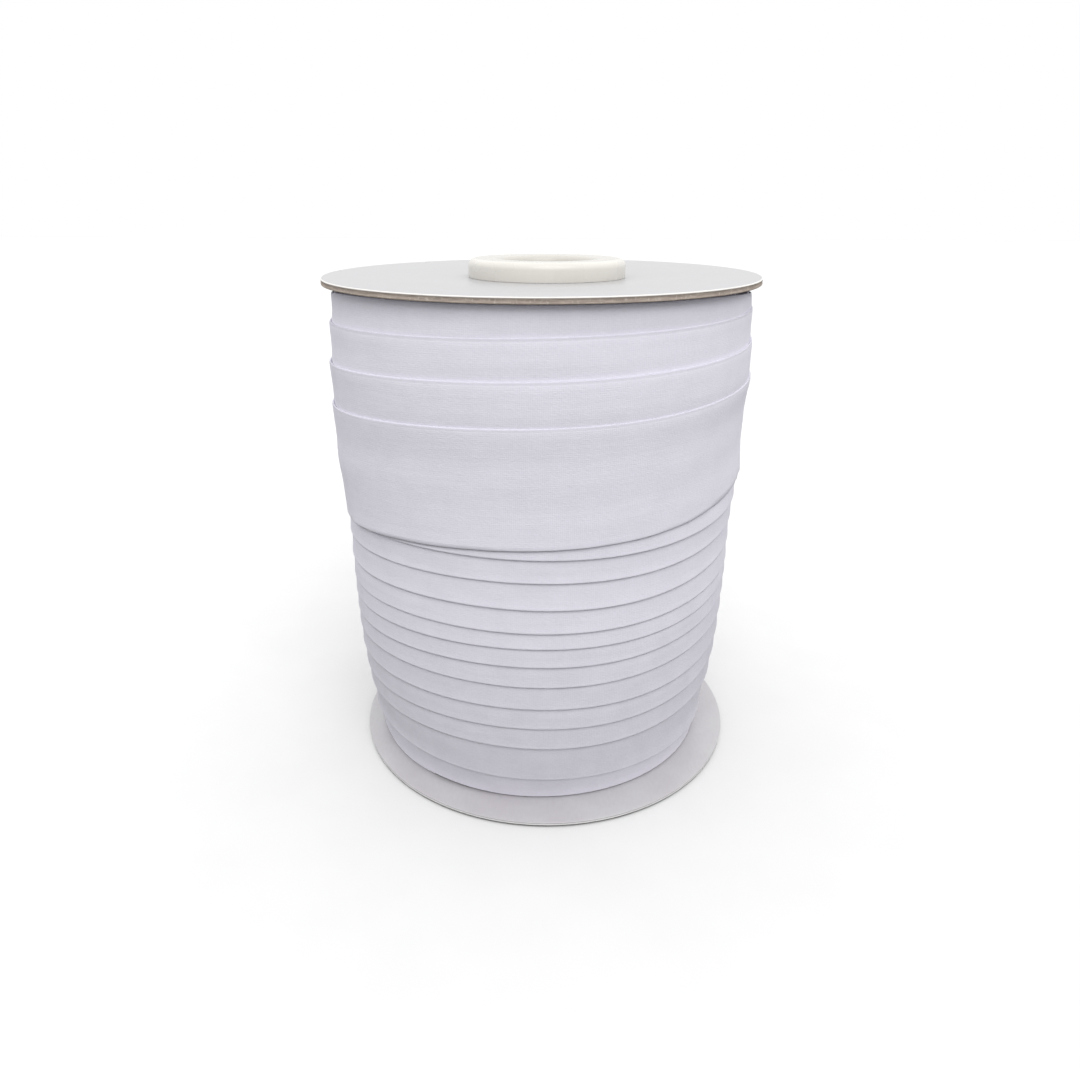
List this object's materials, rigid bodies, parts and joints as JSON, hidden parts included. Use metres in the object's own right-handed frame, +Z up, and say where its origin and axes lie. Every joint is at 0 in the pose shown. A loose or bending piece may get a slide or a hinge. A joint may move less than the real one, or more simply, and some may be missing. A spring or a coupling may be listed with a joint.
{
  "type": "roll of piping tape",
  "caption": "Wide folded piping tape wound in lapped turns on a reel, between round greyboard discs, with a rounded plastic collar round its spindle bore.",
  "frame": {"origin": "on the surface that the reel stands on, midway between the centres of the two boards", "axes": "+Z up along the reel's axis, -Y towards the front that the picture shows, +X to its right"},
  "size_m": [0.12, 0.118, 0.1449],
  "materials": {
    "lined_greyboard": "white-lined greyboard, satin face, bare grey-brown cut edge",
    "core_plastic": "warm off-white moulded plastic, semi-gloss",
    "tape_cloth": "white plain-woven cotton tape with a faint lavender cast, folded and pressed"
  },
  "bodies": {
    "root": {"bottom_board": "lined_greyboard", "top_board": "lined_greyboard", "core": "core_plastic", "tape_winding": "tape_cloth"}
  },
  "joints": []
}
